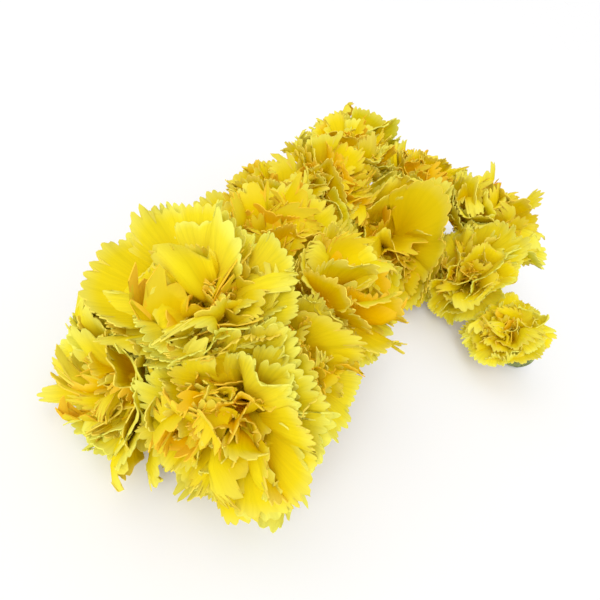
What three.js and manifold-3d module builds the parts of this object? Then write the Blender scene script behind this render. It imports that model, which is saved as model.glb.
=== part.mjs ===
// An open carnation wreath: fifteen double carnations bound on a bent core.
//
// Millimetres, +Z up. The wreath lies on its tape bands, on the plane z = 0. It is worked out round the
// centre of its ring, and moved at the end so that the origin is under the middle of its bounding box.
// A wire runs inside a moss core. Bands of tape hold the moss on the wire. Each flower has a green calyx
// with a cut stem, which is pushed into a hole in the core, and a head of toothed petals in layers.

import * as THREE from 'three';
import { mergeVertices } from 'three/addons/utils/BufferGeometryUtils.js';
import Module from 'manifold-3d';

const wasm = await Module();
wasm.setup();

// ---------------------------------------------------------------- driving dimensions

const CLEARANCE = 0.3; // between two pieces that touch

// The ring: angles run from +X towards +Y.
const RING_RADIUS = 88; // to the middle of the core
const RING_START = -57; // degrees, the end with the small flowers
const RING_END = 184; // degrees, the end with the large flowers
const RING_STEPS = 24; // straight lengths along the ring

// The core and what holds it together.
const CORE_INRADIUS = 9; // to its flat sides
const CORE_SIDES = 8;
const WIRE_RADIUS = 1.3;
const WIRE_SIDES = 5;
const WIRE_END = 4; // how far the wire stands out of each end of the core
const BAND_THICKNESS = 0.8;
const BAND_WIDTH = 9;
const BAND_STEPS = [2, 6, 10, 13, 18, 21]; // the ring's straight lengths that carry a band

// The cut stem in its hole, measured from the middle of the core.
const STEM_RADIUS = 1.9;
const STEM_TIP = 4.3; // where the cut end lies
const STEM_TOP = 10.6; // where the calyx begins, clear of the core
const STEM_SIDES = 6;

// The calyx, as shares of the flower's width.
const CALYX_FOOT = 0.055; // radius
const CALYX_FOOT_PLACE = 0.25; // share of the calyx's height
const CALYX_MOUTH = 0.08; // radius
const MOUTH_BELOW_MIDDLE = 0.16; // from the mouth to the middle of the head

// The petals.
const PETAL_THICKNESS = 0.65;
const SHORTEST_EDGE = 0.02; // what joining leaves shorter than this is closed up
const PETAL_ROOT = 0.05; // how far along the petal its modelled root lies, inside the heart
const TOOTH_DEPTH = 0.09; // share of the petal's length
const MARGIN_ROUNDING = 0.2; // how much shorter a petal is at its sides

// How crowded petals give way to what is next to them.
const SQUEEZE_DEPTH = 0.14; // share of a flower's width over which a petal gives way
const SQUEEZE_MOST = 0.8; // share of the way from a flower's middle to the plane beside it
const CELL_GAP = 0.9; // from a petal's middle to the plane between two flowers
const TABLE_GAP = 0.9; // from a petal's middle to the table
const CORE_GAP = 1.2; // from a petal's middle to the taped core's corners
const CORE_SQUEEZE = 7; // how far round the core a petal gives way

// The heart is the dense middle that the petals stand out of, as shares of the flower's width.
const HEART_RADIUS = 0.062;
const HEART_HEIGHT = 0.16;
const HEART_SIDES = 5;

// Layers from the outside in. Angles are from the flower's axis, in degrees. The start is how far from
// the axis a petal begins. Starts, lengths and ruffles are shares of the flower's width, and the row is
// the share of the length where a petal's middle points lie.
const LAYERS = [
  { count: 5, start: 0.02, rootAngle: 44, endAngle: 112, length: 0.54, ruffle: 0.04, row: 0.62, points: 7 },
  { count: 5, start: 0.02, rootAngle: 26, endAngle: 84, length: 0.58, ruffle: 0.04, row: 0.7, points: 5 },
  { count: 4, start: 0.02, rootAngle: 12, endAngle: 54, length: 0.58, ruffle: 0.035, row: 0.7, points: 5 },
  { count: 3, start: 0.03, rootAngle: 2, endAngle: 24, length: 0.56, ruffle: 0.02, row: 0.7, points: 5 },
];
const PETAL_FILL = 0.86; // share of a petal's place in its layer that its width fills
const BEND_POWER = 1.3; // over 1, a petal bends more towards its margin

// How much the petals of a flower differ from each other.
const TURN_SPREAD = 0.03; // share of a petal's place
const ANGLE_SPREAD = 8; // degrees
const LENGTH_SPREAD = 0.12; // share of the length
const FEWEST_WAVES = 4; // radians of a wave across half a petal
const MORE_WAVES = 2;
const CUP_SPREAD = 0.3; // share of the half width
const CUP_BALANCE = 0.2; // the share of petals that bend back at their sides
const TURN_PER_FLOWER = 0.17; // share of a whole turn from one flower to the next

// The flowers. The station is the place on the ring. The lean is from upright, outwards where it is
// positive, and the slant is from upright along the ring. The reach is from the middle of the core to
// the middle of the head.
const FLOWERS = [
  { station: 180, lean: 66, slant: 9, reach: 57, width: 82 },
  { station: 173, lean: 85, slant: -5, reach: 65, width: 80 },
  { station: 165.5, lean: 47, slant: 8, reach: 60, width: 84 },
  { station: 176, lean: 37, slant: 20, reach: 30, width: 68 },
  { station: 170, lean: -18, slant: 11, reach: 40, width: 64 },
  { station: 148.5, lean: -2, slant: 9, reach: 33, width: 84 },
  { station: 120.5, lean: -15, slant: 0, reach: 34, width: 66 },
  { station: 94, lean: -27, slant: -7, reach: 41, width: 72 },
  { station: 66, lean: 4, slant: 0, reach: 41, width: 71 },
  { station: 57, lean: 49, slant: 0, reach: 46, width: 76 },
  { station: 36.5, lean: -74, slant: 13, reach: 46, width: 96 },
  { station: 33, lean: -7, slant: 2, reach: 36, width: 77 },
  { station: -3, lean: -6, slant: 4, reach: 36, width: 78 },
  { station: -17, lean: -61, slant: 1, reach: 40, width: 70 },
  { station: -53, lean: -50, slant: -12, reach: 30, width: 59 },
];

const BAND_INRADIUS = CORE_INRADIUS + CLEARANCE;
const BAND_OUTER_INRADIUS = BAND_INRADIUS + BAND_THICKNESS;
const RING_HEIGHT = BAND_OUTER_INRADIUS; // the bands' flats lie on the table
const RING_STEP = (RING_END - RING_START) / RING_STEPS;

// ---------------------------------------------------------------- small helpers

const radians = THREE.MathUtils.degToRad;

/** A repeatable draw between 0 and 1 for a whole number. */
function draw(number) {
  const wave = Math.sin((number + 1) * 12.9898) * 43758.5453;
  return wave - Math.floor(wave);
}

/** A solid from a closed geometry. */
function solidOf(geometry) {
  const bare = geometry.index ? geometry.clone() : geometry;
  bare.deleteAttribute('normal');
  bare.deleteAttribute('uv');
  const merged = mergeVertices(bare, 1e-4);
  return new wasm.Manifold(
    new wasm.Mesh({
      numProp: 3,
      vertProperties: new Float32Array(merged.attributes.position.array),
      triVerts: new Uint32Array(merged.index.array),
    }),
  );
}

/** A geometry from a solid. */
function geometryOf(solid) {
  const mesh = solid.getMesh();
  const geometry = new THREE.BufferGeometry();
  geometry.setAttribute('position', new THREE.BufferAttribute(new Float32Array(mesh.vertProperties), 3));
  geometry.setIndex(new THREE.BufferAttribute(new Uint32Array(mesh.triVerts), 1));
  geometry.computeVertexNormals();
  return geometry;
}

/** The largest body of a solid: loose scraps are dropped, and sealed hollows are filled. */
function largestBody(solid) {
  const bodies = solid.decompose();
  return bodies.reduce((best, body) => (body.volume() > best.volume() ? body : best));
}

/** A regular outline with flat sides at the top, at the bottom and between them. */
function polygonOutline(sides, inradius) {
  const corner = inradius / Math.cos(Math.PI / sides);
  const points = Array.from({ length: sides }, (_, side) => {
    const angle = ((side + 0.5) * 2 * Math.PI) / sides + Math.PI / 2;
    return new THREE.Vector2(corner * Math.cos(angle), corner * Math.sin(angle));
  });
  return new THREE.Shape(points);
}

// ---------------------------------------------------------------- the ring

/** The middle of the core, as a curve. */
class RingArc extends THREE.Curve {
  getPoint(share, target = new THREE.Vector3()) {
    const angle = radians(THREE.MathUtils.lerp(RING_START, RING_END, share));
    return target.set(RING_RADIUS * Math.cos(angle), RING_RADIUS * Math.sin(angle), RING_HEIGHT);
  }
}

/** A rod of a regular section along the whole ring. */
function ringRod(sides, inradius) {
  const options = { steps: RING_STEPS, extrudePath: new RingArc(), bevelEnabled: false };
  return new THREE.ExtrudeGeometry(polygonOutline(sides, inradius), options);
}

/** The blocks that cut a short length off each end of the ring. */
function endCutters(length) {
  const size = 4 * CORE_INRADIUS;
  const arc = new RingArc();
  return [0, 1].map((share) => {
    const inwards = arc.getTangent(share).multiplyScalar(share === 0 ? 1 : -1);
    const upwards = new THREE.Vector3(0, 0, 1);
    const side = new THREE.Vector3().crossVectors(upwards, inwards);
    const middle = arc.getPoint(share).addScaledVector(inwards, length - size / 2);
    const placed = new THREE.Matrix4().makeBasis(inwards, side, upwards).setPosition(middle);
    return solidOf(new THREE.BoxGeometry(size, size, size).applyMatrix4(placed));
  });
}

/** A tape band round one straight length of the core. */
function bandGeometry(step) {
  const outline = polygonOutline(CORE_SIDES, BAND_OUTER_INRADIUS);
  outline.holes.push(polygonOutline(CORE_SIDES, BAND_INRADIUS));
  const geometry = new THREE.ExtrudeGeometry(outline, { depth: BAND_WIDTH, bevelEnabled: false });
  const angle = radians(RING_START + (step + 0.5) * RING_STEP);
  const radius = RING_RADIUS * Math.cos(radians(RING_STEP / 2));
  const outwards = new THREE.Vector3(Math.cos(angle), Math.sin(angle), 0);
  const upwards = new THREE.Vector3(0, 0, 1);
  const along = new THREE.Vector3().crossVectors(outwards, upwards);
  const placed = new THREE.Matrix4().makeBasis(outwards, upwards, along);
  const middle = outwards.multiplyScalar(radius).addScaledVector(along, -BAND_WIDTH / 2);
  placed.setPosition(middle.x, middle.y, RING_HEIGHT);
  return geometry.applyMatrix4(placed);
}

// ---------------------------------------------------------------- the flowers' places

/** A flower's axis, seat on the ring and middle. */
function placeFlower(flower, index) {
  const station = radians(flower.station);
  const outwards = new THREE.Vector3(Math.cos(station), Math.sin(station), 0);
  const along = new THREE.Vector3(-Math.sin(station), Math.cos(station), 0);
  const lean = radians(flower.lean);
  const slant = radians(flower.slant);
  const axis = new THREE.Vector3(0, 0, Math.cos(lean) * Math.cos(slant))
    .addScaledVector(outwards, Math.sin(lean) * Math.cos(slant))
    .addScaledVector(along, Math.sin(slant));
  const side = new THREE.Vector3().crossVectors(along, axis).normalize();
  const across = new THREE.Vector3().crossVectors(axis, side);
  const seat = outwards.clone().multiplyScalar(RING_RADIUS).setZ(RING_HEIGHT);
  const mouthReach = flower.reach - MOUTH_BELOW_MIDDLE * flower.width;
  return {
    ...flower,
    index,
    axis,
    side,
    across,
    seat,
    mouthReach,
    mouth: seat.clone().addScaledVector(axis, mouthReach),
    middle: seat.clone().addScaledVector(axis, flower.reach),
  };
}

/** The placement of things modelled along +Z from the ring's middle. */
function flowerMatrix(flower) {
  const matrix = new THREE.Matrix4().makeBasis(flower.side, flower.across, flower.axis);
  return matrix.setPosition(flower.seat);
}

// ---------------------------------------------------------------- calyx and stem

/** A turned piece that stands on a flower's axis, from its profile of radius and height. */
function turnedOnAxis(flower, profile, sides) {
  const points = profile.map(([radius, height]) => new THREE.Vector2(radius, height));
  const geometry = new THREE.LatheGeometry(points, sides);
  return geometry.rotateX(Math.PI / 2).applyMatrix4(flowerMatrix(flower));
}

/** The cut stem and the calyx, in one piece as they grew, with a margin all round. */
function calyxGeometry(flower, margin = 0) {
  const top = flower.mouthReach - CLEARANCE + margin;
  const foot = THREE.MathUtils.lerp(STEM_TOP, top, CALYX_FOOT_PLACE);
  const profile = [
    [0, STEM_TIP - margin],
    [STEM_RADIUS + margin, STEM_TIP - margin],
    [STEM_RADIUS + margin, STEM_TOP - margin],
    [CALYX_FOOT * flower.width + margin, foot],
    [CALYX_MOUTH * flower.width + margin, top],
    [0, top],
  ];
  return turnedOnAxis(flower, profile, STEM_SIDES);
}

// ---------------------------------------------------------------- petals

/** The run of a petal's middle line out from the axis and up it, at a share of its length. */
function petalLine(petal, share) {
  const steps = 6;
  let out = petal.start;
  let up = 0;
  for (let step = 0; step < steps; step += 1) {
    const angle = petalAngle(petal, (share * (step + 0.5)) / steps);
    out += (Math.sin(angle) * petal.length * share) / steps;
    up += (Math.cos(angle) * petal.length * share) / steps;
  }
  return { out, up };
}

/** A petal's angle from the flower's axis at a share of its length. */
function petalAngle(petal, share) {
  return radians(THREE.MathUtils.lerp(petal.rootAngle, petal.endAngle, share ** BEND_POWER));
}

/** A point of a petal's middle surface: share runs to its margin, and sideways from -1 to 1. */
function petalPoint(flower, petal, share, sideways) {
  const { out, up } = petalLine(petal, share);
  const angle = petalAngle(petal, share);
  const halfWidth = out * petal.fan;
  const wave = Math.sin(sideways * petal.waves + petal.phase) * petal.ruffle * share * share;
  const cup = -petal.cup * sideways * sideways * halfWidth;
  const lift = wave + cup;
  const radial = out + lift * Math.cos(angle);
  const height = up - lift * Math.sin(angle);
  const turn = petal.turn;
  const x = radial * Math.cos(turn) - sideways * halfWidth * Math.sin(turn);
  const y = radial * Math.sin(turn) + sideways * halfWidth * Math.cos(turn);
  return flower.mouth
    .clone()
    .addScaledVector(flower.side, x)
    .addScaledVector(flower.across, y)
    .addScaledVector(flower.axis, height);
}

/** The sizes of one petal, with its own seeded draws. */
function petalOf(flower, layer, layerIndex, position) {
  const number = flower.index * 200 + layerIndex * 40 + position * 7;
  const size = flower.width;
  const place = position + 0.5 * layerIndex + TURN_SPREAD * (draw(number) - 0.5);
  return {
    turn: 2 * Math.PI * (place / layer.count + TURN_PER_FLOWER * flower.index),
    start: layer.start * size,
    rootAngle: layer.rootAngle,
    endAngle: layer.endAngle + ANGLE_SPREAD * (draw(number + 1) - 0.5),
    length: layer.length * size * (1 + LENGTH_SPREAD * (draw(number + 2) - 0.5)),
    fan: PETAL_FILL * Math.tan(Math.PI / layer.count),
    ruffle: layer.ruffle * size,
    waves: FEWEST_WAVES + MORE_WAVES * draw(number + 3),
    phase: 2 * Math.PI * draw(number + 4),
    cup: CUP_SPREAD * (draw(number + 5) - CUP_BALANCE),
  };
}

/** Lets a distance under a limit close up softly, so that it never falls under a gap. */
function squeezed(distance, limit, gap) {
  if (distance >= limit) {
    return distance;
  }
  return gap + (limit - gap) * Math.exp((distance - limit) / (limit - gap));
}

/** Moves a point of a petal back inside the room that its flower has. */
function intoRoom(point, flower, flowers) {
  const depth = SQUEEZE_DEPTH * flower.width;
  for (const other of flowers) {
    if (other !== flower) {
      keepFromNeighbour(point, flower, other, depth);
    }
  }
  const outwards = new THREE.Vector3(point.x, point.y, 0).setLength(RING_RADIUS).setZ(RING_HEIGHT);
  const fromRing = point.clone().sub(outwards);
  const corner = BAND_OUTER_INRADIUS / Math.cos(Math.PI / CORE_SIDES);
  fromRing.setLength(squeezed(fromRing.length(), corner + CORE_SQUEEZE, corner + CORE_GAP));
  point.copy(outwards).add(fromRing);
  point.z = squeezed(point.z, TABLE_GAP + depth, TABLE_GAP);
}

/** Keeps a point on its own flower's side of the plane between two flowers. */
function keepFromNeighbour(point, flower, other, depth) {
  const apart = flower.middle.clone().sub(other.middle);
  const distance = apart.length();
  const own = (flower.width / 2) ** 2;
  const others = (other.width / 2) ** 2;
  const share = (distance * distance + others - own) / (2 * distance);
  apart.normalize();
  const room = point.clone().sub(other.middle).dot(apart) - share;
  const ownRoom = distance - share;
  const limit = Math.min(depth, ownRoom * SQUEEZE_MOST);
  const moved = squeezed(room, limit, CELL_GAP);
  point.addScaledVector(apart, moved - room);
}

/** The rows of points of a petal's middle surface, and the triangles between them. */
function petalSurface(flower, petal, layer, flowers) {
  const points = [];
  const rowStarts = [];
  const addRow = (places) => {
    rowStarts.push(points.length);
    places.forEach(([share, sideways]) => {
      const point = petalPoint(flower, petal, share, sideways);
      intoRoom(point, flower, flowers);
      points.push(point);
    });
  };
  const roundedShare = (sideways) => 1 - MARGIN_ROUNDING * sideways * sideways;
  addRow([[PETAL_ROOT, 0]]);
  addRow([-1, 0, 1].map((sideways) => [layer.row * roundedShare(sideways), sideways]));
  const margin = Array.from({ length: layer.points }, (_, place) => {
    const sideways = (2 * place) / (layer.points - 1) - 1;
    const notch = place % 2 === 1 ? TOOTH_DEPTH : 0;
    return [roundedShare(sideways) - notch, sideways];
  });
  addRow(margin);
  rowStarts.push(points.length);
  return { points, triangles: rowTriangles(rowStarts), rim: rimOf(rowStarts) };
}

/** Triangles between rows of points, where the next row has as many points or more. */
function rowTriangles(rowStarts) {
  const triangles = [];
  for (let row = 0; row + 2 < rowStarts.length; row += 1) {
    const near = { start: rowStarts[row], last: rowStarts[row + 1] - rowStarts[row] - 1 };
    const far = { start: rowStarts[row + 1], last: rowStarts[row + 2] - rowStarts[row + 1] - 1 };
    let i = 0;
    let j = 0;
    while (i < near.last || j < far.last) {
      const nearDone = i === near.last;
      const farNext = (j + 0.5) / Math.max(far.last, 1);
      const nearNext = (i + 0.5) / Math.max(near.last, 1);
      if (nearDone || (j < far.last && farNext <= nearNext)) {
        triangles.push([near.start + i, far.start + j, far.start + j + 1]);
        j += 1;
      } else {
        triangles.push([near.start + i, far.start + j, near.start + i + 1]);
        i += 1;
      }
    }
  }
  return triangles;
}

/** The points round the outside of a petal's surface, in order. */
function rimOf(rowStarts) {
  const rows = rowStarts.length - 1;
  const firsts = [];
  const lasts = [];
  for (let row = 0; row < rows - 1; row += 1) {
    firsts.push(rowStarts[row]);
    lasts.push(rowStarts[row + 1] - 1);
  }
  const margin = [];
  for (let point = rowStarts[rows - 1]; point < rowStarts[rows]; point += 1) {
    margin.push(point);
  }
  return [...firsts, ...margin, ...lasts.slice(1).reverse()];
}

/** A petal with its thickness: the same triangles on both faces, and a wall round the rim. */
function petalSolid({ points, triangles, rim }) {
  const normals = points.map(() => new THREE.Vector3());
  triangles.forEach(([a, b, c]) => {
    const ab = points[b].clone().sub(points[a]);
    const ac = points[c].clone().sub(points[a]);
    const normal = ab.cross(ac);
    [a, b, c].forEach((corner) => normals[corner].add(normal));
  });
  const half = PETAL_THICKNESS / 2;
  const front = points.map((point, i) => point.clone().addScaledVector(normals[i].normalize(), half));
  const back = points.map((point, i) => point.clone().addScaledVector(normals[i], -half));
  const count = points.length;
  const indices = [];
  triangles.forEach(([a, b, c]) => indices.push(a, b, c, count + a, count + c, count + b));
  rim.forEach((here, place) => {
    const next = rim[(place + 1) % rim.length];
    indices.push(next, here, count + here, next, count + here, count + next);
  });
  const geometry = new THREE.BufferGeometry().setFromPoints([...front, ...back]);
  geometry.setIndex(indices);
  return solidOf(geometry);
}

/** The dense middle of a flower, which the petals stand out of. */
function heartSolid(flower) {
  const radius = HEART_RADIUS * flower.width;
  const height = HEART_HEIGHT * flower.width;
  const profile = [
    [0, 0],
    [radius, 0],
    [radius, height * 0.75],
    [0, height],
  ].map(([across, up]) => [across, flower.mouthReach + up]);
  return solidOf(turnedOnAxis(flower, profile, HEART_SIDES));
}

/** A flower's head: its petals and its heart, joined in one piece and clear of what is near it. */
function bloomGeometry(flower, flowers, core) {
  const petals = [heartSolid(flower)];
  LAYERS.forEach((layer, layerIndex) => {
    for (let position = 0; position < layer.count; position += 1) {
      const petal = petalOf(flower, layer, layerIndex, position);
      petals.push(petalSolid(petalSurface(flower, petal, layer, flowers)));
    }
  });
  let bloom = wasm.Manifold.union(petals);
  const obstacles = [core, ...flowers.map((other) => solidOf(calyxGeometry(other, CLEARANCE)))];
  obstacles.forEach((obstacle) => {
    if (bloom.intersect(obstacle).volume() > 0) {
      bloom = bloom.subtract(obstacle);
    }
  });
  return geometryOf(largestBody(bloom).asOriginal().simplify(SHORTEST_EDGE));
}

// ---------------------------------------------------------------- materials and assembly

const petalYellow = new THREE.MeshStandardMaterial({ color: 0xf4dc1c, roughness: 0.65, metalness: 0 });
const calyxGreen = new THREE.MeshStandardMaterial({ color: 0x8fa352, roughness: 0.6, metalness: 0 });
const mossGreen = new THREE.MeshStandardMaterial({ color: 0x4a5a2a, roughness: 0.95, metalness: 0 });
const tapeGreen = new THREE.MeshStandardMaterial({ color: 0x5d7440, roughness: 0.7, metalness: 0 });
const wireGrey = new THREE.MeshStandardMaterial({ color: 0x8a8d8f, roughness: 0.4, metalness: 1 });

const wreath = new THREE.Group();

function addPiece(name, geometry, material) {
  const piece = new THREE.Mesh(geometry, material);
  piece.name = name;
  wreath.add(piece);
}

const numbered = (name, index) => `${name}_${String(index + 1).padStart(2, '0')}`;

const flowers = FLOWERS.map(placeFlower);

const channel = solidOf(ringRod(WIRE_SIDES, WIRE_RADIUS + CLEARANCE));
const stemHoles = flowers.map((flower) => solidOf(calyxGeometry(flower, CLEARANCE)));
const coreRod = solidOf(ringRod(CORE_SIDES, CORE_INRADIUS));
const core = wasm.Manifold.difference([coreRod, channel, ...endCutters(WIRE_END), ...stemHoles]);
const coreWithRoom = solidOf(ringRod(CORE_SIDES, BAND_OUTER_INRADIUS + CLEARANCE));

addPiece('core_wire', ringRod(WIRE_SIDES, WIRE_RADIUS), wireGrey);
addPiece('moss_core', geometryOf(core), mossGreen);
BAND_STEPS.forEach((step, index) => addPiece(numbered('tape_band', index), bandGeometry(step), tapeGreen));
flowers.forEach((flower) => {
  addPiece(numbered('calyx', flower.index), calyxGeometry(flower), calyxGreen);
  const bloom = bloomGeometry(flower, flowers, coreWithRoom);
  addPiece(numbered('bloom', flower.index), bloom, petalYellow);
});

// The origin goes under the middle of the bounding box.
const bounds = new THREE.Box3().setFromObject(wreath);
const middle = bounds.getCenter(new THREE.Vector3());
wreath.position.set(-middle.x, -middle.y, -bounds.min.z);

export default wreath;
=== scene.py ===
"""An open carnation wreath, dressed for rendering round its fixed frame.

Fifteen double carnations with toothed, ruffled petals stand on a moss core, which is bound with crepe
tape on a bent wire. Metres, +Z up. The places of all pieces come from the frame's own nodes.
"""

import math

import bpy
import numpy as np
from mathutils import Matrix, Vector


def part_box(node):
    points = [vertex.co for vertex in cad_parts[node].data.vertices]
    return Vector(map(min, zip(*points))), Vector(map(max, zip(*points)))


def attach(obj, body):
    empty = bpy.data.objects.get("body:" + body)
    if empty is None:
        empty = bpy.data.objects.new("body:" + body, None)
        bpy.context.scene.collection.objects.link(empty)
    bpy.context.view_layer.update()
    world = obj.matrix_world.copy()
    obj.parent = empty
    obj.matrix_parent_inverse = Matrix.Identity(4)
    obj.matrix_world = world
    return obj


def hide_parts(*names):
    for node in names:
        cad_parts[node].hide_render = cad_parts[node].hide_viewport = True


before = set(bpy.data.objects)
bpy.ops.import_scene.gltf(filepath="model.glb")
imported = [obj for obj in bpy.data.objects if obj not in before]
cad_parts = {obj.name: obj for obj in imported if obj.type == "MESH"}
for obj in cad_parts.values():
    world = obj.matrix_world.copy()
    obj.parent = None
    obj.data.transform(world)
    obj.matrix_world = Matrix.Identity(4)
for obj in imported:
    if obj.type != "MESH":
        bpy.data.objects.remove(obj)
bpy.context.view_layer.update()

bl_info = {
    "name": "Carnation Wreath",
    "version": (1, 0, 0),
    "blender": (4, 5, 0),
    "location": "3D View > Sidebar > Wreath",
    "description": "Builds an open wreath of double carnations on a taped moss core",
    "category": "Object",
}

MM = 0.001

# The ring that the flowers stand on, round the centre of the frame's moss core. Angles are degrees from +X.
CORE_LOW, CORE_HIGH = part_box("moss_core")
RING_RADIUS = 88 * MM
RING_START = -57
RING_END = 184
CORE_RADIUS = 9.3 * MM
CORE_START = RING_START + 2.7
CORE_END = RING_END - 2.7
RING_CENTRE = Vector((
    (CORE_LOW.x + CORE_HIGH.x) / 2,
    CORE_HIGH.y - (CORE_HIGH.x - CORE_LOW.x) / 2,
    (CORE_LOW.z + CORE_HIGH.z) / 2,
))

FLOWER_NODES = sorted(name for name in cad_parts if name.startswith("bloom_"))
BAND_NODES = sorted(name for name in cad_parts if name.startswith("tape_band_"))


# ------------------------------------------------------------------ sizes and colours for the user


class WreathPetals(bpy.types.PropertyGroup):
    thickness: bpy.props.FloatProperty(
        name="Thickness", description="Thickness of a petal", default=0.42 * MM,
        subtype="DISTANCE", unit="LENGTH")
    ruffle: bpy.props.FloatProperty(
        name="Ruffle", description="How deep the petals' waves are, as a factor", default=1.0)
    tooth_depth: bpy.props.FloatProperty(
        name="Tooth Depth", description="Depth of a deep tooth, as a share of the petal's length",
        default=0.085)
    limb: bpy.props.FloatVectorProperty(
        name="Limb", description="Colour of the open part of a petal", subtype="COLOR", size=4,
        default=(0.67, 0.66, 0.0, 1))
    margin: bpy.props.FloatVectorProperty(
        name="Margin", description="Colour of the toothed margin", subtype="COLOR", size=4,
        default=(0.86, 0.83, 0.08, 1))
    # The throat colour is partly the petals' own deeper yellow and partly painted shade deep in the flower.
    throat: bpy.props.FloatVectorProperty(
        name="Throat", description="Colour deep in the flower", subtype="COLOR", size=4,
        default=(0.95, 0.45, 0.0, 1))
    back: bpy.props.FloatVectorProperty(
        name="Back", description="Colour of a petal's back", subtype="COLOR", size=4,
        default=(0.86, 0.72, 0.01, 1))


class WreathGreens(bpy.types.PropertyGroup):
    calyx: bpy.props.FloatVectorProperty(
        name="Calyx", description="Colour of the calyx", subtype="COLOR", size=4,
        default=(0.20, 0.30, 0.07, 1))
    moss: bpy.props.FloatVectorProperty(
        name="Moss", description="Colour of the moss", subtype="COLOR", size=4,
        default=(0.085, 0.11, 0.022, 1))
    tape: bpy.props.FloatVectorProperty(
        name="Tape", description="Colour of the crepe tape", subtype="COLOR", size=4,
        default=(0.09, 0.17, 0.05, 1))
    wire: bpy.props.FloatVectorProperty(
        name="Wire", description="Colour of the wire", subtype="COLOR", size=4,
        default=(0.42, 0.42, 0.41, 1))
    strand_length: bpy.props.FloatProperty(
        name="Moss Strand", description="Length of a strand of moss", default=7 * MM,
        subtype="DISTANCE", unit="LENGTH")
    strand_count: bpy.props.IntProperty(
        name="Moss Strands", description="Number of strands on the core", default=1500)


class WreathStage(bpy.types.PropertyGroup):
    floor: bpy.props.FloatVectorProperty(
        name="Floor", description="Colour of the floor", subtype="COLOR", size=4,
        default=(0.97, 0.97, 0.97, 1))
    sky_strength: bpy.props.FloatProperty(
        name="Sky Strength", description="Strength of the even light from above", default=0.75)
    wall_strength: bpy.props.FloatProperty(
        name="Wall Strength", description="Strength of the even light from the sides", default=1.0)
    key_power: bpy.props.FloatProperty(
        name="Key Power", description="Power of the large soft light", default=0.55,
        subtype="POWER", unit="POWER")
    key_size: bpy.props.FloatProperty(
        name="Key Size", description="Width of the large soft light", default=0.5,
        subtype="DISTANCE", unit="LENGTH")
    gamma: bpy.props.FloatProperty(
        name="Gamma", description="How far the shadows are opened in the render", default=1.32)
    front_strength: bpy.props.FloatProperty(
        name="Front Strength", description="Strength of the soft light from beside the camera",
        default=1.25)
    camera_place: bpy.props.FloatVectorProperty(
        name="Camera Place", description="Where the camera stands", size=3,
        default=(-0.2016, -0.0912, 0.1811), subtype="TRANSLATION", unit="LENGTH")
    camera_heading: bpy.props.FloatProperty(
        name="Camera Heading", description="Turn of the camera about the vertical",
        default=math.radians(-63.09), subtype="ANGLE", unit="ROTATION")
    camera_pitch: bpy.props.FloatProperty(
        name="Camera Pitch", description="How far the camera looks down",
        default=math.radians(39.22), subtype="ANGLE", unit="ROTATION")
    camera_roll: bpy.props.FloatProperty(
        name="Camera Roll", description="Turn of the camera about its own view",
        default=math.radians(25.37), subtype="ANGLE", unit="ROTATION")
    camera_lens: bpy.props.FloatProperty(
        name="Camera Lens", description="Focal length for a 36 mm sensor, in millimetres", default=29.82)


# ------------------------------------------------------------------ small helpers


def deselect():
    """Nothing is selected and no object is in edit mode."""
    if bpy.context.object and bpy.context.object.mode != "OBJECT":
        bpy.ops.object.mode_set(mode="OBJECT")
    bpy.ops.object.select_all(action="DESELECT")


def choose(piece):
    """Only this piece is selected and active."""
    deselect()
    piece.select_set(True)
    bpy.context.view_layer.objects.active = piece


def points_of(piece):
    """The vertices of a piece as an array."""
    points = np.empty(len(piece.data.vertices) * 3)
    piece.data.vertices.foreach_get("co", points)
    return points.reshape(-1, 3)


def set_points(piece, points):
    """Moves the vertices of a piece."""
    piece.data.vertices.foreach_set("co", np.asarray(points, float).ravel())
    piece.data.update()


def apply_modifier(piece, kind, **values):
    """Adds one modifier to a piece and applies it."""
    choose(piece)
    modifier = piece.modifiers.new(kind.title(), kind)
    for name, value in values.items():
        setattr(modifier, name, value)
    bpy.ops.object.modifier_apply(modifier=modifier.name)


def copy_of(piece, name):
    """A copy of a piece with its own mesh."""
    made = piece.copy()
    made.data = piece.data.copy()
    made.name = made.data.name = name
    bpy.context.scene.collection.objects.link(made)
    return made


def discard(piece):
    """Removes a piece that only served as a pattern."""
    bpy.data.objects.remove(piece)


def smooth(piece, degrees):
    """Smooth shading with sharp edges above an angle."""
    choose(piece)
    bpy.ops.object.shade_smooth_by_angle(angle=math.radians(degrees))


def clean(piece):
    """Merges doubles, which lie closer than a hundredth of a millimetre, and turns all faces outwards."""
    choose(piece)
    bpy.ops.object.mode_set(mode="EDIT")
    bpy.ops.mesh.select_all(action="SELECT")
    bpy.ops.mesh.remove_doubles(threshold=0.01 * MM)
    bpy.ops.mesh.normals_make_consistent(inside=False)
    bpy.ops.object.mode_set(mode="OBJECT")


def stands_for(piece, node, slot, *materials):
    """The finished piece takes the place of a node of the frame."""
    for material in materials:
        piece.data.materials.append(material)
    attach(piece, "root")
    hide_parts(node)


def user_groups():
    """The three groups of the user's sizes and colours."""
    scene = bpy.context.scene
    return scene.wreath_petals, scene.wreath_greens, scene.wreath_stage


# ------------------------------------------------------------------ shader groups


def new_group(name, inputs, outputs):
    """An empty shader group with named sockets, given as (name, kind, value)."""
    tree = bpy.data.node_groups.new(name, "ShaderNodeTree")
    for label, kind, value in inputs:
        socket = tree.interface.new_socket(label, in_out="INPUT", socket_type=kind)
        socket.default_value = value
    for label, kind in outputs:
        tree.interface.new_socket(label, in_out="OUTPUT", socket_type=kind)
    return tree, tree.nodes.new("NodeGroupInput"), tree.nodes.new("NodeGroupOutput")


def node(tree, kind, links=(), **values):
    """A node with its settings, its input values and its links: (input, output socket)."""
    made = tree.nodes.new(kind)
    for key, value in values.items():
        if key.startswith("in_"):
            label = key[3:].replace("_", " ")
            target = made.inputs[int(label)] if label.isdigit() else made.inputs[label]
            target.default_value = value
        else:
            setattr(made, key, value)
    for target, source in links:
        tree.links.new(source, made.inputs[target])
    return made


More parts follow.
